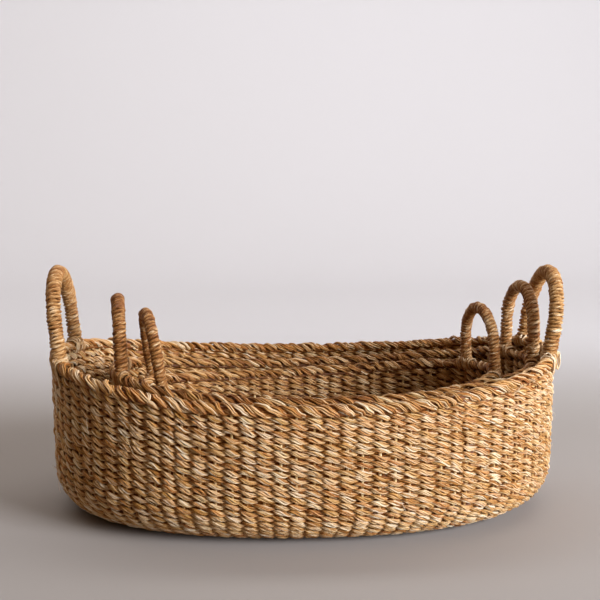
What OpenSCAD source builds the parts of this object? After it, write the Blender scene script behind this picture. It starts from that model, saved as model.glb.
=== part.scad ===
// A nested set of three oval twined-grass baskets. Each basket is a base mat, a twined wall, the
// upright stakes inside that wall, a plaited border on its rim, and two upright loop handles:
// a bent core, a wrapping round it and a lashing at each foot. The small basket stands in the
// medium one and the medium one in the large one, and each lifts straight out.

/* [Large basket] */
// Length over the rim
large_length = 504; // [490:1:520]
// Width over the rim
large_width = 316; // [308:1:330]
// Height of the rim at the middle of a long side
large_height = 135; // [120:1:160]
// How much higher the rim stands at the two ends
large_end_rise = 24; // [0:1:30]
// Outside radius between the wall and the base
large_corner = 46; // [34:1:50]
// Stakes round the wall, an even number
large_stakes = 88; // [80:2:96]

/* [Medium basket] */
// Length over the rim
medium_length = 428; // [400:1:430]
// Width over the rim
medium_width = 248; // [236:1:250]
// Height of the rim at the middle of a long side
medium_height = 120; // [110:1:140]
// How much higher the rim stands at the two ends
medium_end_rise = 15; // [0:1:20]
// Outside radius between the wall and the base
medium_corner = 42; // [32:1:46]
// Stakes round the wall, an even number
medium_stakes = 68; // [64:2:76]

/* [Small basket] */
// Length over the rim
small_length = 364; // [330:1:368]
// Width over the rim
small_width = 196; // [180:1:198]
// Height of the rim at the middle of a long side
small_height = 105; // [96:1:125]
// How much higher the rim stands at the two ends
small_end_rise = 7; // [0:1:15]
// Outside radius between the wall and the base
small_corner = 38; // [30:1:42]
// Stakes round the wall, an even number
small_stakes = 58; // [56:2:70]

/* [Weave] */
// Thickness of the twined wall and of the base
wall = 9; // [8:0.5:10]
// Diameter of a stake
stake_d = 3; // [2.4:0.1:3.2]
// How far the border stands out past each face of the wall
border_lip = 1; // [0.5:0.1:1.5]
// Height of the border
border_h = 11; // [8:0.5:14]
// How far the wall leans outward from the corner to the rim
wall_lean = 1; // [0:0.5:3]
// How much lower the rims sag at the middle of the back: large, medium, small
back_sag = [3.5, 4, 4]; // [0:0.5:5]

/* [Handles] */
// Tops of the left handles above the ends of the rim: large, medium, small
left_handle_height = [83.5, 71, 73]; // [64:0.5:95]
// Tops of the right handles above the ends of the rim: large, medium, small
right_handle_height = [81.5, 75, 65]; // [64:0.5:95]
// Diameters of the wrapped handles: large, medium, small
handle_d = [15.6, 13.8, 12.4]; // [10:0.2:16]
// Diameter of the bent core inside the wrapping
core_d = 6; // [5:0.2:8]
// Outward lean of the left handles: large, medium, small
left_lean = [5.5, 2, 8]; // [0:0.5:10]
// Outward lean of the right handles: large, medium, small
right_lean = [8.5, 1.5, -2]; // [-3:0.5:9]

/* [Nesting] */
// Middle of the medium basket from the middle of the large one
medium_shift = [22, -14]; // [-16:0.5:22.5]
// Middle of the small basket from the middle of the large one
small_shift = [20.5, -20]; // [-24:0.5:22]
// Turn of the medium basket, seen from above
medium_turn = 6.5; // [0:0.5:8]
// Turn of the small basket, seen from above
small_turn = 11.5; // [4:0.5:13]
// Tip of the two inner baskets, front side up
inner_tip = 2; // [0:0.5:2.5]
// Gap under each inner basket where it rests closest
rest_gap = 0.4; // [0.3:0.1:2]

/* [Hidden] */

LARGE = 0;
MEDIUM = 1;
SMALL = 2;
LEFT = -1;
RIGHT = 1;

straw = [0.74, 0.56, 0.34];
honey = [0.66, 0.47, 0.25];
chestnut = [0.55, 0.37, 0.19];
pith = [0.80, 0.68, 0.46];

half_length = [large_length, medium_length, small_length] / 2;
half_width = [large_width, medium_width, small_width] / 2;
height = [large_height, medium_height, small_height];
end_rise = [large_end_rise, medium_end_rise, small_end_rise];
corner = [large_corner, medium_corner, small_corner];
stakes = [large_stakes, medium_stakes, small_stakes];

squareness = [2.2, 2.4, 2.3];  // power of each oval's outline: 2 is an ellipse
rise_power = 2.4;              // how late the rim starts to rise towards the ends
foot_step = [3.5, 2.5, 2.5];   // stakes from the end of the oval to a handle's foot
corner_steps = 5;              // facets of the round corner
border_steps = 6;              // facets over the top of the border
stake_play = 0.4;              // room beside each stake in its channel
channel = stake_d + 2 * stake_play;
wall_face = (wall - channel) / 2;
channel_floor = 4;             // from the round corner up to the foot of a stake
border_spring = 0.35;          // share of the border's height below its round top
border_w = wall + 2 * border_lip;
low_inset = border_lip + wall_lean;
mid_inset = border_lip + wall / 2;
tang_d = 2.8;                  // thinned end of a core, pushed down between two stakes
tang_length = 45;
tang_play = 0.2;
foot_gap = 0.8;                // between the border's ridge and the end of the wrapping
lashing_w = 18;
lashing_t = 1.2;
lashing_play = 0.7;
lashing_drop = 24;
sunk = 5;                      // the inside arch of a lashing sits this far below the ridge
overcut = 1;
fine = 48;

// Height that the tip gives the low edge of an inner basket's flat base
function tip_drop(i) = (half_width[i] - low_inset - corner[i]) * sin(inner_tip);
medium_rest = wall + rest_gap + tip_drop(MEDIUM);
small_slide = (medium_shift[1] - small_shift[1]) * sin(inner_tip);
small_rest = medium_rest + wall + 2 * rest_gap + small_slide;
shift = [[0, 0, 0], [medium_shift[0], medium_shift[1], medium_rest],
    [small_shift[0], small_shift[1], small_rest]];
turn = [0, medium_turn, small_turn];
tip = [0, inner_tip, inner_tip];

// Angle of the step-th stake, spread so that the stakes stand evenly along the outline
function stake_angle(i, step) =
    let (u = 360 * step / stakes[i],
        mean = sqrt((pow(half_length[i], 2) + pow(half_width[i], 2)) / 2),
        at_end = mean / half_width[i], at_side = mean / half_length[i])
    u + 180 / PI * ((at_end - at_side) / 4 * sin(2 * u) + (at_end + at_side - 2) / 8 * sin(4 * u));

// Point of the oval at angle t, that far in from the rim's outline
function plan(i, t, inset) =
    let (n = squareness[i], q = pow(pow(abs(cos(t)), n) + pow(abs(sin(t)), n), -1 / n))
    [(half_length[i] - inset) * cos(t) * q, (half_width[i] - inset) * sin(t) * q];

function rim_z(i, t) =
    let (p = plan(i, t, 0))
    height[i] + end_rise[i] * pow(abs(p[0]) / half_length[i], rise_power)
        - back_sag[i] * pow(max(0, p[1]) / half_width[i], 4);

function at(i, t, inset, z) = let (p = plan(i, t, inset)) [p[0], p[1], z];

// Direction in which the wall faces at angle t
function facing(i, t) =
    let (p = plan(i, t, mid_inset), n = squareness[i] - 1,
        a = half_length[i] - mid_inset, b = half_width[i] - mid_inset)
    atan2(sign(p[1]) * pow(abs(p[1]) / b, n) / b, sign(p[0]) * pow(abs(p[0]) / a, n) / a);

// Cross-section of the wall as [inset, z]: outside corner, top, stake channel, inside corner
function wall_section(i, t) =
    let (r = corner[i], top = rim_z(i, t) - border_h)
    concat(
        [for (k = [0:corner_steps]) let (a = 90 * k / corner_steps)
            [low_inset + r * (1 - sin(a)), r * (1 - cos(a))]],
        [[border_lip, top],
            [border_lip + wall_face, top],
            [low_inset + wall_face, r + channel_floor],
            [low_inset + wall_face + channel, r + channel_floor],
            [border_lip + wall_face + channel, top],
            [border_lip + wall, top]],
        [for (k = [corner_steps:-1:0]) let (a = 90 * k / corner_steps)
            [low_inset + r - (r - wall) * sin(a), r - (r - wall) * cos(a)]]
    );

// Cross-section of the border: flat where it sits on the wall, round on top
function border_section(i, t) =
    let (top = rim_z(i, t), spring = top - border_h * (1 - border_spring))
    concat(
        [[border_lip, top - border_h]],
        [for (k = [0:border_steps]) let (a = 180 * k / border_steps)
            [border_w / 2 * (1 - cos(a)), spring + border_h * (1 - border_spring) * sin(a)]],
        [[border_lip + wall, top - border_h]]
    );

// One closed solid from a cross-section at each stake
module ring(i, sections) {
    count = len(sections);
    n = len(sections[0]);
    points = [for (k = [0:count - 1]) for (q = sections[k])
        at(i, stake_angle(i, k), q[0], q[1])];
    faces = [for (k = [0:count - 1]) for (m = [0:n - 1])
        let (a = k * n + m, b = k * n + (m + 1) % n,
            c = (k + 1) % count * n + (m + 1) % n, d = (k + 1) % count * n + m)
        each [[a, b, c], [a, c, d]]];
    polyhedron(points = points, faces = faces, convexity = 12);
}

// Round rod between two points
module rod(from, to, d) {
    v = to - from;
    translate(from)
        rotate([0, acos(v[2] / norm(v)), atan2(v[1], v[0])])
            cylinder(h = norm(v), d = d, $fn = fine);
}

// Stands a basket where it rests in the nest
module nested(i) translate(shift[i]) rotate([0, 0, turn[i]]) rotate([-tip[i], 0, 0]) children();

function lean(i, side) = side == LEFT ? left_lean[i] : right_lean[i];
function handle_height(i, side) = side == LEFT ? left_handle_height[i] : right_handle_height[i];
function foot_angle(i, side, foot) =
    let (t = stake_angle(i, foot_step[i])) side == RIGHT ? foot * t : 180 - foot * t;
function foot_point(i, side, foot) =
    let (t = foot_angle(i, side, foot)) at(i, t, mid_inset, rim_z(i, t) + foot_gap);
function arch_r(i) = foot_point(i, RIGHT, 1)[1];
function leg_length(i, side) = height[i] + end_rise[i] + handle_height(i, side)
    - handle_d[i] / 2 - arch_r(i) - foot_point(i, side, 1)[2];

// Leans a handle outward about the line through its two feet
module on_feet(i, side) {
    p = foot_point(i, side, 1);
    translate([p[0], 0, p[2]]) rotate([0, side * lean(i, side), 0]) children();
}

// Half ring that joins the tops of the legs, from an outline drawn round the origin
module arch(i, side) translate([0, 0, leg_length(i, side)]) rotate([90, 0, 90])
    rotate_extrude(angle = 180, $fn = 2 * fine) translate([arch_r(i), 0]) children();

module legs(i, side, d, below = 0) for (foot = [-1, 1])
    translate([0, foot * arch_r(i), -below])
        cylinder(h = leg_length(i, side) + below, d = d, $fn = fine);

// Thin end of a core, from just above the border down into the stake channel
module tang(i, side, foot, d) {
    t = foot_angle(i, side, foot);
    z = rim_z(i, t);
    share = (tang_length + foot_gap) / (z - corner[i]);
    rod(at(i, t, mid_inset + wall_lean * share, z - tang_length),
        at(i, t, mid_inset, z + foot_gap + overcut), d);
}

module base(i) linear_extrude(height = wall)
    polygon([for (k = [0:stakes[i] - 1]) plan(i, stake_angle(i, k), low_inset + corner[i])]);

module twined_wall(i) ring(i, [for (k = [0:stakes[i] - 1]) wall_section(i, stake_angle(i, k))]);

module stake_set(i) for (k = [0:stakes[i] - 1]) {
    t = stake_angle(i, k);
    rod(at(i, t, mid_inset + wall_lean, corner[i] + channel_floor + stake_play),
        at(i, t, mid_inset, rim_z(i, t) - border_h - stake_play), stake_d);
}

module border(i) difference() {
    ring(i, [for (k = [0:stakes[i] - 1]) border_section(i, stake_angle(i, k))]);
    for (side = [LEFT, RIGHT], foot = [-1, 1]) tang(i, side, foot, tang_d + 2 * tang_play);
}

module core(i, side) {
    on_feet(i, side) {
        legs(i, side, core_d);
        arch(i, side) circle(d = core_d, $fn = fine);
    }
    for (foot = [-1, 1]) tang(i, side, foot, tang_d);
}

module wrap(i, side) on_feet(i, side) {
    difference() {
        legs(i, side, handle_d[i]);
        legs(i, side, core_d, overcut);
    }
    arch(i, side) difference() {
        circle(d = handle_d[i], $fn = fine);
        circle(d = core_d, $fn = fine);
    }
}

// Outline of a lashing from the end: legs down both faces of the wall, and a round top
module saddle(r, up) {
    translate([0, up - r]) circle(r = r, $fn = fine);
    translate([-r, -lashing_drop]) square([2 * r, lashing_drop + up - r]);
}

module lashings(i, side) difference() {
    for (foot = [-1, 1]) {
        t = foot_angle(i, side, foot);
        inside = border_w / 2 + lashing_play;
        translate(at(i, t, mid_inset, rim_z(i, t)))
            rotate([90, 0, facing(i, t)])
                linear_extrude(height = lashing_w, center = true) difference() {
                    saddle(inside + lashing_t, inside + lashing_t - sunk);
                    translate([0, -overcut]) saddle(inside, inside - sunk + overcut);
                }
    }
    on_feet(i, side) legs(i, side, handle_d[i] + 2 * tang_play, sunk);
}

module large_base() color(honey) nested(LARGE) base(LARGE);
module large_wall() color(straw) nested(LARGE) twined_wall(LARGE);
module large_stakes_in_wall() color(pith) nested(LARGE) stake_set(LARGE);
module large_border() color(straw) nested(LARGE) border(LARGE);
module large_left_core() color(pith) nested(LARGE) core(LARGE, LEFT);
module large_left_wrap() color(straw) nested(LARGE) wrap(LARGE, LEFT);
module large_left_lashings() color(honey) nested(LARGE) lashings(LARGE, LEFT);
module large_right_core() color(pith) nested(LARGE) core(LARGE, RIGHT);
module large_right_wrap() color(straw) nested(LARGE) wrap(LARGE, RIGHT);
module large_right_lashings() color(honey) nested(LARGE) lashings(LARGE, RIGHT);

module medium_base() color(honey) nested(MEDIUM) base(MEDIUM);
module medium_wall() color(honey) nested(MEDIUM) twined_wall(MEDIUM);
module medium_stakes_in_wall() color(pith) nested(MEDIUM) stake_set(MEDIUM);
module medium_border() color(honey) nested(MEDIUM) border(MEDIUM);
module medium_left_core() color(pith) nested(MEDIUM) core(MEDIUM, LEFT);
module medium_left_wrap() color(chestnut) nested(MEDIUM) wrap(MEDIUM, LEFT);
module medium_left_lashings() color(chestnut) nested(MEDIUM) lashings(MEDIUM, LEFT);
module medium_right_core() color(pith) nested(MEDIUM) core(MEDIUM, RIGHT);
module medium_right_wrap() color(chestnut) nested(MEDIUM) wrap(MEDIUM, RIGHT);
module medium_right_lashings() color(chestnut) nested(MEDIUM) lashings(MEDIUM, RIGHT);

module small_base() color(honey) nested(SMALL) base(SMALL);
module small_wall() color(honey) nested(SMALL) twined_wall(SMALL);
module small_stakes_in_wall() color(pith) nested(SMALL) stake_set(SMALL);
module small_border() color(honey) nested(SMALL) border(SMALL);
module small_left_core() color(pith) nested(SMALL) core(SMALL, LEFT);
module small_left_wrap() color(chestnut) nested(SMALL) wrap(SMALL, LEFT);
module small_left_lashings() color(chestnut) nested(SMALL) lashings(SMALL, LEFT);
module small_right_core() color(pith) nested(SMALL) core(SMALL, RIGHT);
module small_right_wrap() color(chestnut) nested(SMALL) wrap(SMALL, RIGHT);
module small_right_lashings() color(chestnut) nested(SMALL) lashings(SMALL, RIGHT);

large_base();
large_wall();
large_stakes_in_wall();
large_border();
large_left_core();
large_left_wrap();
large_left_lashings();
large_right_core();
large_right_wrap();
large_right_lashings();
medium_base();
medium_wall();
medium_stakes_in_wall();
medium_border();
medium_left_core();
medium_left_wrap();
medium_left_lashings();
medium_right_core();
medium_right_wrap();
medium_right_lashings();
small_base();
small_wall();
small_stakes_in_wall();
small_border();
small_left_core();
small_left_wrap();
small_left_lashings();
small_right_core();
small_right_wrap();
small_right_lashings();
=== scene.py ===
"""Looks of the nested set of three twined-grass baskets, woven strand by strand over the CAD frame."""
import math

import bpy
import numpy as np
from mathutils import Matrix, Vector


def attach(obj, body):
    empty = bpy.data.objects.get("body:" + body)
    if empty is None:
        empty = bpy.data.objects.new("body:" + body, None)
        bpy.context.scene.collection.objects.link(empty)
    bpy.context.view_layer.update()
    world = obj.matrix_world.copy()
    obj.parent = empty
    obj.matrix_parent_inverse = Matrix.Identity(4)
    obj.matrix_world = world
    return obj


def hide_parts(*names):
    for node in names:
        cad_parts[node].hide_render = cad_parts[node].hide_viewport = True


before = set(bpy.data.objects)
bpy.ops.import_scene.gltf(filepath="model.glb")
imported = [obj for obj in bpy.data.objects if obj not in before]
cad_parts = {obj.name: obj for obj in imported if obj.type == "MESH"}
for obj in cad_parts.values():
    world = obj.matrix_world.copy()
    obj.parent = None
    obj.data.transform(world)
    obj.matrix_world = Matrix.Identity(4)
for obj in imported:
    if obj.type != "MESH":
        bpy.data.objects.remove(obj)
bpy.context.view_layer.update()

MM = 0.001

# ---------------------------------------------------------------- shape of the baskets
# Sizes as in the CAD model, in millimetres; where each basket stands is read from its CAD base
WALL = 9.0              # thickness of a wall and of a base
LIP = 1.0               # how far the border stands out past the top of the wall
LEAN_IN = 1.0           # how much further in the wall is at its foot than at its top
BORDER_H = 11.0         # height of the border
FOOT_GAP = 0.8          # height of a handle's feet above the rim
RISE_POWER = 2.4        # how late along the basket the rim swings up to its ends
LOW = LIP + LEAN_IN     # inset of the wall's outside at its foot
MID = LIP + WALL / 2    # inset of the wall's middle at the rim
NUDGE = 0.02            # part of a stake or row step across which directions are taken
TAU = 6.28              # about a full turn, for random phases
# power shapes the oval, rise and sag bend the rim, and corner is the round between base and wall.
# Pairs are the left and right handle: height over the rim's ends, degrees of outward lean, colour; the
# large basket's right cord is set darker, painted shade that offsets the window light falling on it.
BASKETS = {
    "large": dict(length=504, width=316, height=135, rise=24, corner=46, stakes=88, power=2.2,
                  sag=3.5, handle_height=(83.5, 81.5), handle_d=15.6, lean=(5.5, 8.5), foot_step=3.5,
                  wrap_pitch=3.5, cord_tint=(0.34, 0.20), corner_rows=11, side_rows=13,
                  wall_pieces=6, fibres=120, seed=11),
    "medium": dict(length=428, width=248, height=120, rise=15, corner=42, stakes=68, power=2.4,
                   sag=4, handle_height=(71, 75), handle_d=13.8, lean=(2, 1.5), foot_step=2.5,
                   wrap_pitch=3.9, cord_tint=(0.27, 0.47), corner_rows=10, side_rows=11,
                   wall_pieces=4, fibres=70, seed=23),
    "small": dict(length=364, width=196, height=105, rise=7, corner=38, stakes=58, power=2.3,
                  sag=4, handle_height=(73, 65), handle_d=12.4, lean=(8, -2), foot_step=2.5,
                  wrap_pitch=3.6, cord_tint=(0.27, 0.40), corner_rows=9, side_rows=9,
                  wall_pieces=3, fibres=50, seed=37),
}


def smooth(x):
    return x * x * (3 - 2 * x)


def unit(v):
    return v / np.maximum(np.linalg.norm(v, axis=-1, keepdims=True), 1e-12)


class Basket:
    """One basket's surface: points, directions and the place it stands in the nest."""

    def __init__(self, name, **kw):
        self.name = name
        self.__dict__.update(kw)
        self.a, self.b = self.length / 2, self.width / 2
        self.rows = self.corner_rows + self.side_rows
        co = np.array([v.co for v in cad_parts[name + "_base"].data.vertices])
        mid = (co.min(0) + co.max(0)) / 2 if name == "large" else co.mean(0)
        # the base is longest along the basket and thinnest across it, which gives how it stands
        axes = np.linalg.svd(co - co.mean(0), full_matrices=False)[2]
        up = axes[2] * np.sign(axes[2][2])
        along = axes[0] * np.sign(axes[0][0])
        self.turn = np.array([along, np.cross(up, along), up])
        self.origin = mid - up * WALL / 2 * MM
        rng = np.random.default_rng(self.seed)
        rng.normal(0, 0.07, self.stakes)        # not used, but the draws below follow on from it
        # long waves that all the rows share: phase, number round the basket, height in rows
        self.row_wave = [(rng.uniform(0, TAU), k, rng.normal(0, 0.16 / math.sqrt(k)))
                         for k in range(2, 12)]

    def place(self, p):
        """From the basket's own millimetres to the shared frame in metres."""
        return p * MM @ self.turn + self.origin

    def angle(self, step):
        """Angle on the oval of a stake step, so that the steps are about evenly spaced."""
        u = 2 * math.pi * step / self.stakes
        mean = math.sqrt((self.a ** 2 + self.b ** 2) / 2)
        end, side = mean / self.b, mean / self.a
        return u + (end - side) / 4 * np.sin(2 * u) + (end + side - 2) / 8 * np.sin(4 * u)

    def plan(self, t, inset):
        """Oval seen from above, drawn in by inset."""
        c, s = np.cos(t), np.sin(t)
        q = (np.abs(c) ** self.power + np.abs(s) ** self.power) ** (-1 / self.power)
        return (self.a - inset) * c * q, (self.b - inset) * s * q

    def rim(self, t):
        """Height of the rim, which swings up to the ends and sags a little at the back."""
        x, y = self.plan(t, 0.0)
        return (self.height + self.rise * (np.abs(x) / self.a) ** RISE_POWER
                - self.sag * (np.maximum(0, y) / self.b) ** 4)

    def wall_point(self, step, v):
        """Middle of the wall at a stake step and a row number counted up from the base."""
        step, v = np.broadcast_arrays(step, v)
        t = self.angle(step)
        r = self.corner - WALL / 2
        turn = np.clip(v / self.corner_rows, 0, 1) * math.pi / 2
        f = np.maximum(v - self.corner_rows, 0) / self.side_rows
        inset = LOW + self.corner - r * np.sin(turn) - (LOW - LIP) * f
        z = self.corner - r * np.cos(turn) + f * (self.rim(t) - BORDER_H - self.corner)
        x, y = self.plan(t, inset)
        return np.stack([x, y, z], -1)

    def base_point(self, step, v):
        """Middle of the base mat: v is 1 at its edge and 0 at its middle line."""
        step, v = np.broadcast_arrays(step, v)
        inset = LOW + self.corner + (1 - v) * (self.b - LOW - self.corner)
        x, y = self.plan(self.angle(step), inset)
        return np.stack([x, y, np.full_like(x, WALL / 2)], -1)

    def frame_at(self, point, step, v, dv=NUDGE):
        """Point, outward normal, direction along the row and direction up the wall."""
        p = point(step, v)
        along = unit(point(step + NUDGE, v) - point(step - NUDGE, v))
        up = unit(point(step, v + dv) - point(step, v - dv))
        out = unit(np.cross(along, up))
        return p, out, along, unit(np.cross(out, along))

    def rim_frame(self, step):
        """Point of the rim's ridge with the outward and along directions, both level."""
        t = self.angle(step)
        x, y = self.plan(t, MID)
        p = np.stack([x, y, self.rim(t)], -1)
        ta, tb = self.angle(step - NUDGE), self.angle(step + NUDGE)
        xa, ya = self.plan(ta, MID)
        xb, yb = self.plan(tb, MID)
        along = unit(np.stack([xb - xa, yb - ya, self.rim(tb) - self.rim(ta)], -1))
        up = np.zeros_like(p)
        up[..., 2] = 1
        out = unit(np.cross(along, up))
        return p, out, along


def blend_noise(rng, count, where, scale, loop=True):
    """Smooth random value: one draw per whole number, eased in between."""
    values = rng.normal(0, scale, count)
    k = np.floor(where).astype(int)
    w = smooth(where - k)
    if loop:
        return values[k % count] * (1 - w) + values[(k + 1) % count] * w
    return values[np.clip(k, 0, count - 1)] * (1 - w) + values[np.clip(k + 1, 0, count - 1)] * w


# ---------------------------------------------------------------- strands to meshes
class Strands:
    """Gathers strands, each a swept, grooved section, and turns them into one mesh."""

    def __init__(self):
        self.co, self.quads, self.grain, self.tone = [], [], [], []
        self.total = 0

    def sweep(self, centre, out, up, half_up, half_out, sides=12, lobes=3, groove=0.14, twist=0.0,
              closed=False, tint=0.5, second=0.5, recess_shade=0.0, side_shade=0.0, seed=0.0):
        """centre, out and up are (n, 3) in millimetres; the section is half_up by half_out.

        tint and second colour the strand along its length; the third tone value is painted shade, darkening
        the strand in recesses and along its two sides."""
        n = len(centre)
        step = np.linalg.norm(np.diff(centre, axis=0, prepend=centre[:1]), axis=1)
        length = np.cumsum(step)
        phi = np.arange(sides) / sides * 2 * math.pi
        roll = twist * length + seed * TAU
        around = phi[None, :] + 0 * length[:, None]
        dent = 1 - groove * (1 - np.abs(np.cos(lobes / 2 * (around + roll[:, None])))) ** 1.3
        hu = (np.broadcast_to(half_up, (n,))[:, None] * dent)[..., None]
        ho = (np.broadcast_to(half_out, (n,))[:, None] * dent)[..., None]
        ring = (centre[:, None, :] + hu * np.sin(around)[..., None] * up[:, None, :]
                + ho * np.cos(around)[..., None] * out[:, None, :])
        self.co.append(ring.reshape(-1, 3))
        j = np.arange(n if closed else n - 1)[:, None]
        m = np.arange(sides)[None, :]
        a, b = j * sides + m, j * sides + (m + 1) % sides
        c, d = (j + 1) % n * sides + (m + 1) % sides, (j + 1) % n * sides + m
        self.quads.append(np.stack([a, b, c, d], -1).reshape(-1, 4) + self.total)
        lane = around + roll[:, None]
        # grain runs along the strand, and lies elsewhere in the noise for each strand
        self.grain.append(np.stack([
            np.repeat(length[:, None], sides, 1) + seed * 977.0,
            np.cos(lane) * 3.0 + seed * 57.0, np.sin(lane) * 3.0], -1).reshape(-1, 3))
        tone = np.empty((n, sides, 3))
        tone[..., 0] = np.broadcast_to(tint, (n,))[:, None]
        tone[..., 1] = np.broadcast_to(second, (n,))[:, None]
        # third tone value: painted shade, from the recess value plus a darkening towards the section's two
        # sides
        tone[..., 2] = np.clip(np.broadcast_to(recess_shade, (n,))[:, None] + side_shade * np.abs(np.sin(phi)), 0, 1)
        self.tone.append(tone.reshape(-1, 3))
        self.total += n * sides

    def mesh(self, basket, name, body, material, replaces=()):
        co = basket.place(np.concatenate(self.co))
        co[:, 2] = np.maximum(co[:, 2], 0)      # pressed flat where it stands on the floor
        quads = np.concatenate(self.quads)
        me = bpy.data.meshes.new(name)
        me.vertices.add(len(co))
        me.vertices.foreach_set("co", co.astype(np.float32).ravel())
        me.loops.add(quads.size)
        me.loops.foreach_set("vertex_index", quads.astype(np.int32).ravel())
        me.polygons.add(len(quads))
        me.polygons.foreach_set("loop_start", np.arange(0, quads.size, 4, dtype=np.int32))
        me.update(calc_edges=True)
        me.polygons.foreach_set("use_smooth", np.ones(len(quads), bool))
        for key, data in (("grain", self.grain), ("tone", self.tone)):
            layer = me.attributes.new(key, "FLOAT_VECTOR", "POINT")
            layer.data.foreach_set("vector", np.concatenate(data).astype(np.float32).ravel())
        me.validate()
        ob = bpy.data.objects.new(name, me)
        bpy.context.scene.collection.objects.link(ob)
        me.materials.append(material)
        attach(ob, body)
        if replaces:
            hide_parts(*replaces)
        return ob


def spline(points, q):
    """Catmull-Rom curve through the points, read at q from 0 to 1."""
    p = np.asarray(points, float)
    p = np.concatenate([2 * p[:1] - p[1:2], p, 2 * p[-1:] - p[-2:-1]])
    n = len(p) - 3
    s = np.clip(np.asarray(q, float) * n, 0, n - 1e-9)
    k = s.astype(int)
    f = (s - k)[:, None]
    a, b, c, d = p[k], p[k + 1], p[k + 2], p[k + 3]
    return 0.5 * (2 * b + (c - a) * f + (2 * a - 5 * b + 4 * c - d) * f ** 2
                  + (3 * b - a - 3 * c + d) * f ** 3)


def side_dirs(path, hint):
    """Directions across a path: one close to hint, and the other square to both."""
    along = unit(np.gradient(path, axis=0))
    out = unit(hint - along * np.sum(hint * along, -1, keepdims=True))
    return out, np.cross(along, out)


# ---------------------------------------------------------------- the weave
SEGS = 7                # points of a wall strand for each stake it passes
BLADE_SIDES = 4         # corners of a blade's section
BLADE_TURN = 34.0       # length in which a weaver's blades turn once round each other
STAKE_WANDER = 0.055    # how unevenly the stakes stand, the same in every row
BASE_ROW = 5.7          # width of a row of the base mat
BASE_STITCH = 13.5      # length along a row of the base mat from stitch to stitch


def row_strands(basket, strands, point, v, dv, count, swing, thick, seed, row_gap,
                segs=SEGS, wander=True, wave=0.0, blades=5):
    """Two weavers twined round every stake: one goes out where the other goes in.

    Each weaver is a few blades of grass turning slowly round each other. The row has count
    stitches, swings out and in by swing, and row_gap is the step of v from row to row."""
    rng = np.random.default_rng(seed)
    n = count * segs
    step = np.arange(n) / segs
    scale = basket.stakes / count
    for k in range(2):
        where = step * scale
        if wander:
            where = where + blend_noise(np.random.default_rng(basket.seed), count, step, STAKE_WANDER)
            where = where + blend_noise(rng, count, step, 0.07)
        rise = np.zeros(n)
        for phase, m, size in basket.row_wave:
            rise = rise + size * np.sin(m * step / count * 2 * math.pi + phase + v * 0.13)
        rise = (rise + blend_noise(rng, count, step, 0.09)) * wave
        p, out, _, up = basket.frame_at(point, where, v + rise, dv)
        pitch = np.linalg.norm(point(where, v + row_gap / 2) - point(where, v - row_gap / 2), axis=-1)
        beat = math.pi * (step - k)
        c, s = np.cos(beat), np.sin(beat)
        face = np.abs(c)        # 1 where the weaver shows on a face, 0 where it crosses the other
        bulge = (c * (1.5 - 0.5 * c * c) + 0.32 * (1 - face)) * swing
        proud = blend_noise(rng, count, step, 0.32) * face
        slide = blend_noise(rng, count, step, 0.08) * pitch * face
        centre = p + out * (bulge + proud)[:, None] + up * (-0.25 * pitch * s + slide)[:, None]
        full = pitch * (0.61 + 0.39 * face) * (1 + blend_noise(rng, count, step, 0.12))
        deep = thick * (1 + 0.2 * (1 - face))
        length = np.cumsum(np.linalg.norm(np.diff(centre, axis=0, prepend=centre[:1]), axis=1))
        turn0 = rng.uniform(0, TAU)
        turns = max(1, round(length[-1] / BLADE_TURN))
        patches = max(count // 5, 3)        # longer stretches of one colour
        hue = rng.uniform(0.3, 0.7)
        stitch = blend_noise(rng, count, step, 0.07)
        for blade in range(blades):
            ang = turn0 + 2 * math.pi * blade / blades - turns * 2 * math.pi * length / length[-1]
            ang = ang + blend_noise(rng, count, step, 0.25)
            away = 1 + blend_noise(rng, count, step, 0.12)
            path = (centre + up * (0.30 * full * np.sin(ang) * away)[:, None]
                    + out * (0.38 * deep * np.cos(ang) * away)[:, None])
            tint = (0.5 + rng.normal(0, 0.05) + stitch + blend_noise(rng, count, step, 0.19)
                    + blend_noise(rng, patches, step * patches / count, 0.09))
            # painted shade: the blades darken where the weaver dips in between stitches, and along their
            # two sides
            strands.sweep(path, out, up, 0.165 * full * (1 + blend_noise(rng, count, step, 0.14)),
                          0.52 * deep * (1 + blend_noise(rng, count, step, 0.10)),
                          sides=BLADE_SIDES, lobes=2, groove=0.10, closed=True, tint=np.clip(tint, 0, 1),
                          second=np.clip(hue + rng.normal(0, 0.2), 0, 1), recess_shade=(1 - face) ** 2,
                          side_shade=0.75, seed=rng.uniform(0, 1))
    # a thin strip in the middle of the row stands in for the strands that can't be seen; it is coloured
    # darkest, painted shade in the gaps between the stitches
    at = np.arange(count * 3) / 3 * scale
    p, out, _, up = basket.frame_at(point, at, v, dv)
    pitch = np.linalg.norm(point(at, v + row_gap / 2) - point(at, v - row_gap / 2), axis=-1)
    strands.sweep(p, out, up, 0.62 * pitch, 0.7, sides=4, lobes=2, groove=0, closed=True, tint=0.0,
                  recess_shade=1.0, seed=rng.uniform(0, 1))


def build_wall(basket, body, mats):
    name = basket.name
    bounds = np.linspace(0, basket.rows, basket.wall_pieces + 1).round().astype(int)
    for g in range(basket.wall_pieces):
        st = Strands()
        # the last piece has one row more, which fills the border from inside
        for row in range(bounds[g], bounds[g + 1] + (g == basket.wall_pieces - 1)):
            v = row + 0.5
            high = smooth(min(1.0, v / basket.corner_rows))
            row_strands(basket, st, basket.wall_point, v, NUDGE, basket.stakes, swing=2.15 + 0.30 * high,
                        thick=2.05 + 0.30 * high, seed=basket.seed * 1000 + row, row_gap=1.0, wave=0.6)
        st.mesh(basket, f"{name}_wall_rows_{g + 1}", body, mats["wall"],
                (name + "_wall",))


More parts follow.
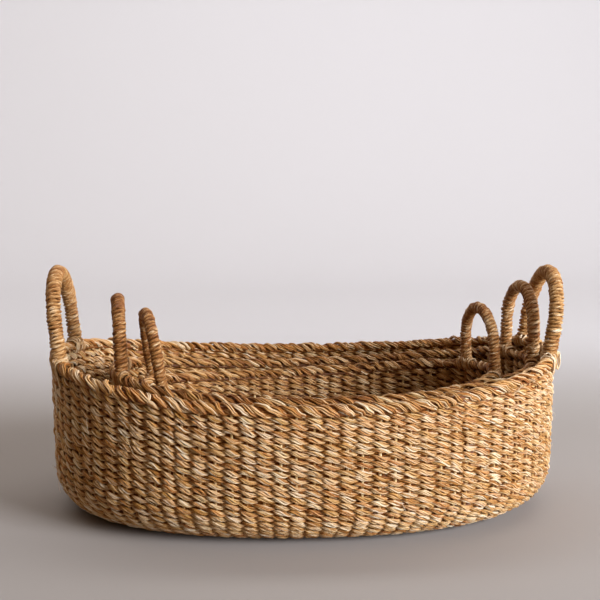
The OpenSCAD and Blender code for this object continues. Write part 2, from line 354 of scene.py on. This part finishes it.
def build_base(basket, body, mats):
    name = basket.name
    st = Strands()
    deep = basket.b - LOW - basket.corner
    count_rows = int(round(deep / BASE_ROW))
    for row in range(count_rows):
        v = 1 - (row + 0.5) / count_rows
        x, y = basket.plan(np.linspace(0, 2 * math.pi, 400), LOW + basket.corner + (1 - v) * deep)
        around = np.hypot(np.diff(x), np.diff(y)).sum()
        count = max(8, 2 * int(round(around / BASE_STITCH / 2)))
        row_strands(basket, st, basket.base_point, v, 0.01, count, swing=2.2, thick=2.0,
                    seed=basket.seed * 1000 + 500 + row, row_gap=1 / count_rows, segs=6,
                    wander=False, blades=2)
    # the middle line, sewn over
    half = (basket.a - basket.b) + 3
    x = np.linspace(-half, half, 60)
    path = np.stack([x, 0.4 * np.sin(x / 9), np.full_like(x, WALL / 2)], -1)
    out, up = side_dirs(path, np.tile([0.0, 0.0, 1.0], (len(x), 1)))
    st.sweep(path, out, up, 3.2, 3.4, lobes=3, groove=0.3, twist=0.25, seed=0.37)
    st.mesh(basket, name + "_base_mat", body, mats["base"], (name + "_base",))


def build_stakes(basket, body, mats):
    st = Strands()
    rng = np.random.default_rng(basket.seed + 1)
    wander = np.random.default_rng(basket.seed).normal(0, STAKE_WANDER, basket.stakes)
    for k in range(basket.stakes):
        v = np.clip(np.linspace(-0.2, basket.rows + 1.2, 26), 0.03, None)
        p, out, along, _ = basket.frame_at(basket.wall_point, np.full(len(v), k + wander[k]), v)
        st.sweep(p, out, along, 1.55, 1.35, sides=6, lobes=3, groove=0.2,
                 tint=rng.uniform(0.2, 0.8), second=rng.uniform(0, 1), seed=rng.uniform(0, 1))
    st.mesh(basket, basket.name + "_stakes", body, mats["pith"],
            (basket.name + "_stakes_in_wall",))


def build_border(basket, body, mats):
    """Plaited rim: slanting twisted bundles turn over the top and down the outside, two to a stake.

    The path of a bundle is in (stakes along, millimetres outward, millimetres up from the ridge)."""
    name = basket.name
    rng = np.random.default_rng(basket.seed + 2)
    st = Strands()
    path = np.array([
        (-0.66, -2.6, -8.4), (-0.50, -4.3, -6.6), (-0.31, -5.0, -4.6), (-0.08, -4.1, -2.6),
        (0.14, -1.0, -1.2), (0.37, 2.4, -1.8), (0.60, 4.2, -3.8), (0.83, 4.8, -6.2),
        (1.04, 4.5, -8.6), (1.20, 2.2, -10.8)])
    n = 18
    q = np.linspace(0, 1, n)
    blades = 4
    for k in range(basket.stakes * 2):
        drift, lift, tint = rng.normal(0, 0.09), rng.normal(0, 0.6), rng.uniform(0.0, 0.60)
        hue = rng.uniform(0.3, 0.7)
        long = 1 + rng.normal(0, 0.16)
        proud = rng.normal(0, 0.40)
        pts = path * (long, 1, 1) + (k / 2 + drift, 0, lift)
        pts = pts + rng.normal(0, 1, pts.shape) * (0.05, 0.2, 0.3)
        pts[2:8, 1] += proud * np.sign(pts[2:8, 1])
        pts[3:6, 2] += proud
        c = spline(pts, q)
        ridge, out, _ = basket.rim_frame(c[:, 0])
        up = np.zeros_like(ridge)
        up[:, 2] = 1
        middle = ridge + out * c[:, 1:2] + up * c[:, 2:3]
        o, w = side_dirs(middle, unit(middle - (ridge - up * 7.0)))
        fade = np.clip(np.minimum(q, 1 - q) * 8, 0.2, 1)
        turn = rng.uniform(0, TAU) + q * rng.uniform(3.0, 5.0)
        for blade in range(blades):
            ang = turn + 2 * math.pi * blade / blades + rng.normal(0, 0.2)
            centre = (middle + w * (1.35 * fade * np.cos(ang))[:, None]
                      + o * (0.75 * fade * np.sin(ang))[:, None])
            # painted shade: the bundle darkens towards both ends, where it tucks under, and along its two
            # sides
            st.sweep(centre, o, w, (0.86 + rng.normal(0, 0.12)) * fade,
                     (0.84 + rng.normal(0, 0.1)) * fade, sides=5, lobes=2, groove=0.08,
                     tint=np.clip(tint + rng.normal(0, 0.24), 0, 1),
                     second=np.clip(hue + rng.normal(0, 0.1), 0, 1),
                     recess_shade=np.clip(1 - np.minimum(q, 1 - q) * 4, 0, 1), side_shade=0.6,
                     seed=rng.uniform(0, 1))
    # stake ends laid along under the bundles, coloured darkest as painted shade in the gaps between them
    for layer, (n_off, z_off, r) in enumerate(((0, -5.2, 3.0), (2.1, -8.2, 2.0), (-2.1, -8.2, 2.0))):
        m = basket.stakes * 3
        ridge, out, _ = basket.rim_frame(np.arange(m) / 3)
        up = np.zeros_like(ridge)
        up[:, 2] = 1
        st.sweep(ridge + out * n_off + up * z_off, out, up, r, r, sides=8, lobes=3, groove=0.2,
                 twist=0.1, closed=True, tint=0.0, second=0.5, recess_shade=1.0, seed=layer * 0.31)
    st.mesh(basket, name + "_border_plait", body, mats["border"],
            (name + "_border",))


# ---------------------------------------------------------------- handles
PATH_STEP = 1.5         # distance between the points of a handle's middle line
FOOT_DEPTH = 4.0        # how far each end of a handle goes down below its foot
CORE_R = 3.0            # radius of the core that the cord is wound round


def handle_path(basket, side):
    """Middle line of a handle from its front foot over the arch to its back foot."""
    t = basket.angle(basket.foot_step)
    x, y = basket.plan(t, MID)
    z = basket.rim(t) + FOOT_GAP
    top = basket.height + basket.rise + basket.handle_height[0 if side < 0 else 1]
    leg = top - basket.handle_d / 2 - y - z
    total = 2 * (leg + FOOT_DEPTH) + math.pi * y
    s = np.linspace(0, total, int(total / PATH_STEP))
    up1 = s < leg + FOOT_DEPTH
    over = (s >= leg + FOOT_DEPTH) & (s < leg + FOOT_DEPTH + math.pi * y)
    ang = (s - leg - FOOT_DEPTH) / y
    py = np.where(up1, -y, np.where(over, -y * np.cos(ang), y))
    pz = np.where(up1, s - FOOT_DEPTH, np.where(over, leg + y * np.sin(ang), total - s - FOOT_DEPTH))
    # outward of the bend, in the handle's plane
    oy = np.where(up1, -1, np.where(over, -np.cos(ang), 1))
    oz = np.where(over, np.sin(ang), 0)
    lean = side * math.radians(basket.lean[0 if side < 0 else 1])

    def leant(px, py, pz):
        return np.stack([px * math.cos(lean) + pz * math.sin(lean), py,
                         -px * math.sin(lean) + pz * math.cos(lean)], -1)

    zero = np.zeros_like(s)
    centre = leant(zero, py, pz) + np.array([side * x, 0, z])
    out = leant(zero, oy, oz)
    flat = np.cross(unit(np.gradient(centre, axis=0)), out)
    return s, centre, unit(out), unit(flat)


def build_handle(basket, side, body, mats):
    word = "left" if side < 0 else "right"
    name = f"{basket.name}_{word}"
    rng = np.random.default_rng(basket.seed + (5 if side < 0 else 7))
    s, centre, out, flat = handle_path(basket, side)
    cord = (basket.handle_d / 2 - CORE_R) / 2
    pitch = basket.wrap_pitch
    # turns of the two-ply cord wound round the core
    st = Strands()
    turns = (s[-1] - 1.0) / pitch
    count = int(turns) + 3
    n = int(turns * 24)
    at = np.linspace(0, s[-1], n)
    turn = at / pitch + 0.12 * np.sin(at / 17 + rng.uniform(0, 6)) + 0.08 * np.sin(at / 7.3)
    turn = turn - turn[0]
    ang = 2 * math.pi * turn
    c = np.stack([np.interp(at, s, centre[:, i]) for i in range(3)], -1)
    o = unit(np.stack([np.interp(at, s, out[:, i]) for i in range(3)], -1))
    f = unit(np.stack([np.interp(at, s, flat[:, i]) for i in range(3)], -1))
    lump = 1 + blend_noise(rng, count, turn, 0.05, loop=False)
    knob = 1 + blend_noise(rng, count * 4, turn * 4, 0.075, loop=False)
    r = (CORE_R + cord * 0.95) * lump * (1 + 0.02 * np.sin(at / 11))
    away = o * np.cos(ang)[:, None] + f * np.sin(ang)[:, None]
    path = c + away * r[:, None]
    out_dir, wide = side_dirs(path, away)
    length = np.cumsum(np.linalg.norm(np.diff(path, axis=0, prepend=path[:1]), axis=1))
    slow = blend_noise(rng, 14, at / s[-1] * 13, 0.06, loop=False)
    for ply in range(2):
        roll = math.pi * ply - 0.30 * length + blend_noise(rng, count * 2, turn * 2, 0.3, loop=False)
        wide_by, out_by = 0.20 * pitch * np.sin(roll), 0.22 * cord * np.cos(roll)
        # the cord's colour; on the large basket's right handle it is set darker as painted shade
        tint = np.clip(basket.cord_tint[0 if side < 0 else 1] + slow + rng.normal(0, 0.05)
                       + blend_noise(rng, count * 5, turn * 5, 0.20, loop=False), 0, 1)
        # painted shade along the two sides of each ply of the cord
        st.sweep(path + wide * wide_by[:, None] + out_dir * out_by[:, None], out_dir, wide,
                 pitch * 0.44 * lump * knob, cord * 0.74 * knob, sides=7, lobes=2, groove=0.15,
                 twist=0.3, tint=tint, second=np.clip(0.5 + slow, 0, 1), side_shade=0.7, seed=rng.uniform(0, 1))
    st.mesh(basket, name + "_wrapping", body, mats["wrap"],
            (name + "_wrap",))
    # strands that bind each foot over the rim
    st = Strands()
    q = np.linspace(0, 1, 26)
    foot_r = basket.handle_d / 2

    def lay(step, pts, wide, thick, tint=None):
        """A strand from points (along, outward, up) about a foot on the rim's ridge."""
        three = spline(pts, q)
        per = np.linalg.norm(basket.rim_frame(np.array([step + 0.5]))[0]
                             - basket.rim_frame(np.array([step - 0.5]))[0])
        ridge, rim_out, _ = basket.rim_frame(step + three[:, 0] / per)
        up = np.zeros_like(ridge)
        up[:, 2] = 1
        path = ridge + rim_out * three[:, 1:2] + up * three[:, 2:3]
        o2, w2 = side_dirs(path, unit(path - (ridge + up * np.minimum(three[:, 2:3] - 1, -4))))
        st.sweep(path, o2, w2, wide + rng.normal(0, 0.1), thick, sides=7, lobes=2, groove=0.12,
                 twist=rng.normal(0, 0.05), tint=rng.uniform(0.25, 0.85) if tint is None else tint,
                 second=rng.uniform(0.2, 0.8), seed=rng.uniform(0, 1))

    for foot in (-1, 1):
        step = basket.foot_step if foot > 0 else -basket.foot_step
        if side < 0:
            step = basket.stakes / 2 - step
        for offset in np.linspace(-8.6, 8.6, 12):
            offset = offset + rng.normal(0, 0.5)
            hug = math.sqrt(max(foot_r ** 2 - offset ** 2, 0.0)) + 0.2
            lift = rng.uniform(0.6, 2.4)
            over = ([(-hug - 0.1, lift - 1.5), (-hug + 1.8, lift + 0.4), (0, lift + 1.0),
                     (hug - 1.8, lift + 0.4), (hug + 0.1, lift - 1.5)] if hug > 3.5 else
                    [(-5.2, -0.9), (-3.0, 0.4), (0, 0.9), (3.0, 0.4), (5.2, -0.9)])
            pts = np.array([(-3.2, -10.5 + rng.normal(0, 1.2)), (-5.3, -8), (-6.1, -5), (-6.4, -2.4)] + over
                           + [(6.5, -3), (6.2, -8), (5.8, -13), (3.6, -18 + rng.normal(0, 3.0))])
            lie = offset + np.array([-2.6, -1.8, -0.8, -0.2, 0, 0, 0, 0, 0, 0.8, 2.4, 4.6, 6.0]) * 0.8
            lie = lie + rng.normal(0, 0.4, len(lie))
            lay(step, np.concatenate([lie[:, None], pts], 1), 0.85, 0.8)
    if basket.name == "large" and side > 0:
        # a loose end that hangs in a curl outside the front foot
        for by, wide in ((0, 1.2), (1.5, 1.0)):
            curl = [(2, 6.6, 2.5 - by), (6, 8.6, 1.5 - by), (9, 9.4 - by, -3), (10.5, 9.6 - by, -9),
                    (10, 8.8 - by, -14 + by), (8, 7.6, -16 + by), (6, 6.6, -13 + by)]
            lay(-basket.foot_step, curl, wide, 0.8, 0.55)
    st.mesh(basket, name + "_foot_lashings", body, mats["lashing"],
            (name + "_lashings",))


def build_fibres(basket, body, mats):
    """Stray fibres and short blade ends that stand off the weave and the border."""
    rng = np.random.default_rng(basket.seed + 9)
    st = Strands()
    for _ in range(basket.fibres):
        step, v = np.array([rng.uniform(0, basket.stakes)]), np.array([rng.uniform(8, basket.rows)])
        p, out, along, up = (a[0] for a in basket.frame_at(basket.wall_point, step, v))
        face = 1 if rng.uniform() < 0.75 else -1
        long = rng.uniform(5, 16)
        slant = rng.uniform(-0.9, 0.9)
        way = unit(along * math.cos(slant) + up * math.sin(slant))
        q = np.linspace(0, 1, 7)[:, None]
        curl = rng.uniform(1.2, 3.6)
        path = (p + out * face * (3.3 + np.sin(q * math.pi * 0.55) * (curl + 1.2)) + way * q * long
                + up * rng.normal(0, 2) * q ** 2)
        o, w = side_dirs(path, np.tile(out, (len(q), 1)))
        thick = rng.uniform(0.16, 0.34) * np.linspace(1, 0.4, len(q))
        st.sweep(path, o, w, thick, thick, sides=5, lobes=2, groove=0, tint=rng.uniform(0.4, 1),
                 second=rng.uniform(0, 1), seed=rng.uniform(0, 1))
    st.mesh(basket, basket.name + "_stray_fibres", body, mats["fibre"])


# ---------------------------------------------------------------- materials
def grass(name, ramp, rough=(0.34, 0.60), bump=0.5, fine=1.0):
    """Dry grass: blades and fibres run along each strand, their colour mixed blade by blade."""
    mat = bpy.data.materials.new(name)
    mat.use_nodes = True
    nt = mat.node_tree
    N, L = nt.nodes, nt.links
    bsdf = N["Principled BSDF"]

    def node(kind, **values):
        nd = N.new(kind)
        for k, v in values.items():
            if k in nd.inputs:
                nd.inputs[k].default_value = v
            else:
                setattr(nd, k, v)
        return nd

    grain = node("ShaderNodeAttribute", attribute_name="grain")
    tone = node("ShaderNodeAttribute", attribute_name="tone")
    split = node("ShaderNodeSeparateXYZ")
    L.new(tone.outputs["Vector"], split.inputs[0])

    def stretched(scale, detail, rough_):
        mp = node("ShaderNodeMapping")
        mp.inputs["Scale"].default_value = scale
        L.new(grain.outputs["Vector"], mp.inputs["Vector"])
        nz = node("ShaderNodeTexNoise", Detail=detail, Roughness=rough_, Scale=1.0)
        L.new(mp.outputs["Vector"], nz.inputs["Vector"])
        return nz.outputs["Fac"]

    blades = stretched((0.020, 0.75 * fine, 0.75 * fine), 2.0, 0.6)
    fibres = stretched((0.09, 2.6 * fine, 2.6 * fine), 3.0, 0.65)
    spots = stretched((0.30, 0.5, 0.5), 2.0, 0.5)

    def math_(op, a, b, clamp=False):
        nd = node("ShaderNodeMath", operation=op, use_clamp=clamp)
        for i, v in enumerate((a, b)):
            if isinstance(v, (int, float)):
                nd.inputs[i].default_value = v
            else:
                L.new(v, nd.inputs[i])
        return nd.outputs[0]

    mix = math_("ADD", math_("MULTIPLY", math_("SUBTRACT", blades, 0.5), 1.7),
                math_("MULTIPLY", math_("SUBTRACT", split.outputs[0], 0.5), 0.75))
    mix = math_("ADD", mix, math_("MULTIPLY", math_("SUBTRACT", fibres, 0.5), 0.95))
    # painted shade: the third tone value moves recesses and strand sides down the colour ramp
    mix = math_("SUBTRACT", mix, math_("MULTIPLY", split.outputs[2], 0.26))
    mix = math_("ADD", mix, 0.67, clamp=True)
    cr = node("ShaderNodeValToRGB")
    cr.color_ramp.interpolation = "EASE"
    e = cr.color_ramp.elements
    while len(e) < len(ramp):
        e.new(0.5)
    for el, (pos, col) in zip(e, ramp):
        el.position = pos
        el.color = (*col, 1)
    L.new(mix, cr.inputs["Fac"])
    # warmer and greener blades here and there
    hue = node("ShaderNodeHueSaturation")
    shift = math_("ADD", math_("MULTIPLY", math_("SUBTRACT", split.outputs[1], 0.5), 0.016), 0.5)
    L.new(shift, hue.inputs["Hue"])
    L.new(cr.outputs["Color"], hue.inputs["Color"])
    # dull marks
    mark = node("ShaderNodeMapRange")
    mark.inputs["From Min"].default_value = 0.62
    mark.inputs["From Max"].default_value = 0.78
    mark.inputs["To Min"].default_value = 1.0
    mark.inputs["To Max"].default_value = 0.62
    L.new(spots, mark.inputs["Value"])
    # painted shade: the third tone value also darkens the colour directly
    painted_darkening = math_("SUBTRACT", 1.0, math_("MULTIPLY", split.outputs[2], 0.25))
    L.new(math_("MULTIPLY", mark.outputs[0], painted_darkening), hue.inputs["Value"])
    L.new(hue.outputs["Color"], bsdf.inputs["Base Color"])
    rr = node("ShaderNodeMapRange")
    rr.inputs["To Min"].default_value = rough[0]
    rr.inputs["To Max"].default_value = rough[1]
    L.new(fibres, rr.inputs["Value"])
    L.new(rr.outputs[0], bsdf.inputs["Roughness"])
    b1 = node("ShaderNodeBump", Strength=bump, Distance=0.0009)
    height = math_("ADD", blades, math_("MULTIPLY", fibres, 0.55))
    L.new(height, b1.inputs["Height"])
    L.new(b1.outputs["Normal"], bsdf.inputs["Normal"])
    bsdf.inputs["Specular IOR Level"].default_value = 0.28
    return mat


STRAW = [(0.0, (0.18, 0.048, 0.004)), (0.22, (0.41, 0.145, 0.021)), (0.46, (0.63, 0.315, 0.092)),
         (0.70, (0.76, 0.515, 0.270)), (1.0, (0.86, 0.730, 0.540))]
HONEY = [(0.0, (0.11, 0.030, 0.004)), (0.22, (0.26, 0.090, 0.015)), (0.46, (0.45, 0.200, 0.050)),
         (0.72, (0.64, 0.375, 0.150)), (1.0, (0.86, 0.680, 0.440))]
CHESTNUT = [(0.0, (0.09, 0.024, 0.003)), (0.3, (0.22, 0.073, 0.012)), (0.55, (0.38, 0.160, 0.038)),
            (0.78, (0.55, 0.310, 0.122)), (1.0, (0.84, 0.650, 0.430))]
GOLD = [(0.0, (0.17, 0.053, 0.009)), (0.3, (0.37, 0.155, 0.036)), (0.55, (0.56, 0.300, 0.105)),
        (0.78, (0.74, 0.490, 0.250)), (1.0, (0.94, 0.810, 0.620))]
PITH = [(0.0, (0.13, 0.050, 0.013)), (0.3, (0.30, 0.145, 0.045)), (0.55, (0.48, 0.280, 0.105)),
        (0.78, (0.66, 0.440, 0.200)), (1.0, (0.82, 0.640, 0.380))]

weave_light = grass("grass_straw", STRAW)
weave_dark = grass("grass_honey", HONEY)
wrap_light = grass("cord_golden", GOLD, bump=0.7, fine=1.4)
wrap_dark = grass("cord_chestnut", CHESTNUT, bump=0.7, fine=1.4)
pith = grass("stem_pith", PITH, rough=(0.6, 0.85), bump=0.35)

# the handle cores are the only CAD nodes that nothing replaces
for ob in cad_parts.values():
    ob.data.materials.clear()
    ob.data.materials.append(pith)

for key, spec in BASKETS.items():
    basket = Basket(key, **spec)
    body = key + "_basket"
    weave = weave_light if key == "large" else weave_dark
    cord = wrap_light if key == "large" else wrap_dark
    mats = {"wall": weave, "base": weave, "border": weave, "wrap": cord, "lashing": cord,
            "pith": pith, "fibre": weave_light}
    build_base(basket, body, mats)
    build_wall(basket, body, mats)
    build_stakes(basket, body, mats)
    build_border(basket, body, mats)
    for side in (-1, 1):
        build_handle(basket, side, body, mats)
    build_fibres(basket, body, mats)


# ---------------------------------------------------------------- room, light and camera
ROOM = (0.62, 0.60, 0.61)               # the pale room seen past the floor
FLOOR_NEAR = (0.345, 0.316, 0.298)      # the floor round the baskets
FLOOR_FAR = (0.60, 0.585, 0.60)         # the floor further back, and the wall it sweeps up into
FLOOR_CHANGE = (0.2, 0.95)              # y between which the one turns into the other
SIDE_FADE = (1.5, 2.8)                  # distance to either side over which the floor fades away
FRONT_FADE = (-1.3, -2.8)               # the same towards the front, in y


def room():
    """A floor that sweeps up into a pale wall behind the baskets."""
    width, near, far, high, bend, parts = 12.0, -12.0, 2.9, 6.0, 1.4, 24
    profile = [(near, 0.0), (far - bend, 0.0)]
    profile += [(far - bend + bend * math.sin(a), bend - bend * math.cos(a))
                for a in np.linspace(0, math.pi / 2, parts)[1:]]
    profile += [(far, high)]
    co, faces = [], []
    for y, z in profile:
        co += [(-width, y, z), (width, y, z)]
    for k in range(len(profile) - 1):
        faces.append((2 * k, 2 * k + 1, 2 * k + 3, 2 * k + 2))
    me = bpy.data.meshes.new("studio_sweep")
    me.from_pydata(co, [], faces)
    for poly in me.polygons:
        poly.use_smooth = True
    mat = bpy.data.materials.new("studio_floor")
    mat.use_nodes = True
    nt = mat.node_tree
    N, L = nt.nodes, nt.links
    bsdf = N["Principled BSDF"]
    bsdf.inputs["Roughness"].default_value = 0.8
    bsdf.inputs["Specular IOR Level"].default_value = 0.2

    def ramp(value, low, high):
        nd = N.new("ShaderNodeMapRange")
        nd.interpolation_type = "SMOOTHSTEP"
        nd.inputs["From Min"].default_value, nd.inputs["From Max"].default_value = low, high
        L.new(value, nd.inputs["Value"])
        return nd.outputs[0]

    # the floor is darker near the baskets than further back, on top of what the lights do: partly the
    # floor's own grey and partly painted shade
    place, xyz = N.new("ShaderNodeNewGeometry"), N.new("ShaderNodeSeparateXYZ")
    L.new(place.outputs["Position"], xyz.inputs[0])
    shade = N.new("ShaderNodeMix")
    shade.data_type = "RGBA"
    L.new(ramp(xyz.outputs[1], *FLOOR_CHANGE), shade.inputs["Factor"])
    shade.inputs["A"].default_value = (*FLOOR_NEAR, 1)
    shade.inputs["B"].default_value = (*FLOOR_FAR, 1)
    L.new(shade.outputs["Result"], bsdf.inputs["Base Color"])
    # far to the sides and in front it fades into the pale room, as seen from any camera
    seen, which = N.new("ShaderNodeEmission"), N.new("ShaderNodeLightPath")
    seen.inputs["Color"].default_value = (*ROOM, 1)

    def join(op, *values):
        nd = N.new("ShaderNodeMath")
        nd.operation = op
        for k, value in enumerate(values):
            L.new(value, nd.inputs[k])
        return nd.outputs[0]

    aside = ramp(join("ABSOLUTE", xyz.outputs[0]), *SIDE_FADE)
    far_off = join("MAXIMUM", aside, ramp(xyz.outputs[1], *FRONT_FADE))
    fade = join("MULTIPLY", far_off, which.outputs["Is Camera Ray"])
    both = N.new("ShaderNodeMixShader")
    L.new(fade, both.inputs[0])
    L.new(bsdf.outputs[0], both.inputs[1])
    L.new(seen.outputs[0], both.inputs[2])
    L.new(both.outputs[0], N["Material Output"].inputs["Surface"])
    me.materials.append(mat)
    ob = bpy.data.objects.new("studio_sweep", me)
    bpy.context.scene.collection.objects.link(ob)


def area(name, where, at, size, power, colour):
    """A soft rectangular light that points from where to at."""
    li = bpy.data.lights.new(name, "AREA")
    li.shape = "RECTANGLE"
    li.size, li.size_y = size
    li.energy = power
    li.color = colour
    ob = bpy.data.objects.new(name, li)
    bpy.context.scene.collection.objects.link(ob)
    ob.location = where
    ob.visible_camera = False
    ob.rotation_euler = (Vector(at) - Vector(where)).to_track_quat("-Z", "Y").to_euler()


room()
area("window", (2.22, -1.72, 1.0), (0.0, 0.0, 0.08), (1.4, 1.3), 160.0, (0.96, 1.0, 1.07))
area("sky", (-0.4, -1.0, 3.0), (0.0, 0.0, 0.0), (3.0, 2.6), 10.0, (1.0, 0.84, 0.64))
area("backdrop", (0.0, 1.1, 2.9), (0.0, 2.5, 0.5), (5.5, 1.2), 79.0, (0.975, 0.985, 1.0))
world = bpy.data.worlds.new("soft_room")
world.use_nodes = True
wn, wl = world.node_tree.nodes, world.node_tree.links
fill, seen, which, mixer = (wn["Background"], wn.new("ShaderNodeBackground"),
                            wn.new("ShaderNodeLightPath"), wn.new("ShaderNodeMixShader"))
fill.inputs["Color"].default_value = (1.0, 0.62, 0.32, 1)
fill.inputs["Strength"].default_value = 0.155
seen.inputs["Color"].default_value = (*ROOM, 1)
wl.new(which.outputs["Is Camera Ray"], mixer.inputs[0])
wl.new(fill.outputs[0], mixer.inputs[1])
wl.new(seen.outputs[0], mixer.inputs[2])
wl.new(mixer.outputs[0], wn["World Output"].inputs["Surface"])
bpy.context.scene.world = world

cam_data = bpy.data.cameras.new("photo_view")
cam_data.sensor_width = 36.0
cam_data.lens = 65.4
cam = bpy.data.objects.new("photo_view", cam_data)
bpy.context.scene.collection.objects.link(cam)
cam.location = (-0.060, -1.080, 0.369)
cam.rotation_euler = Vector((0.0510, 0.989, -0.1500)).to_track_quat("-Z", "Y").to_euler()
bpy.context.scene.camera = cam
bpy.context.scene.view_settings.view_transform = "Standard"
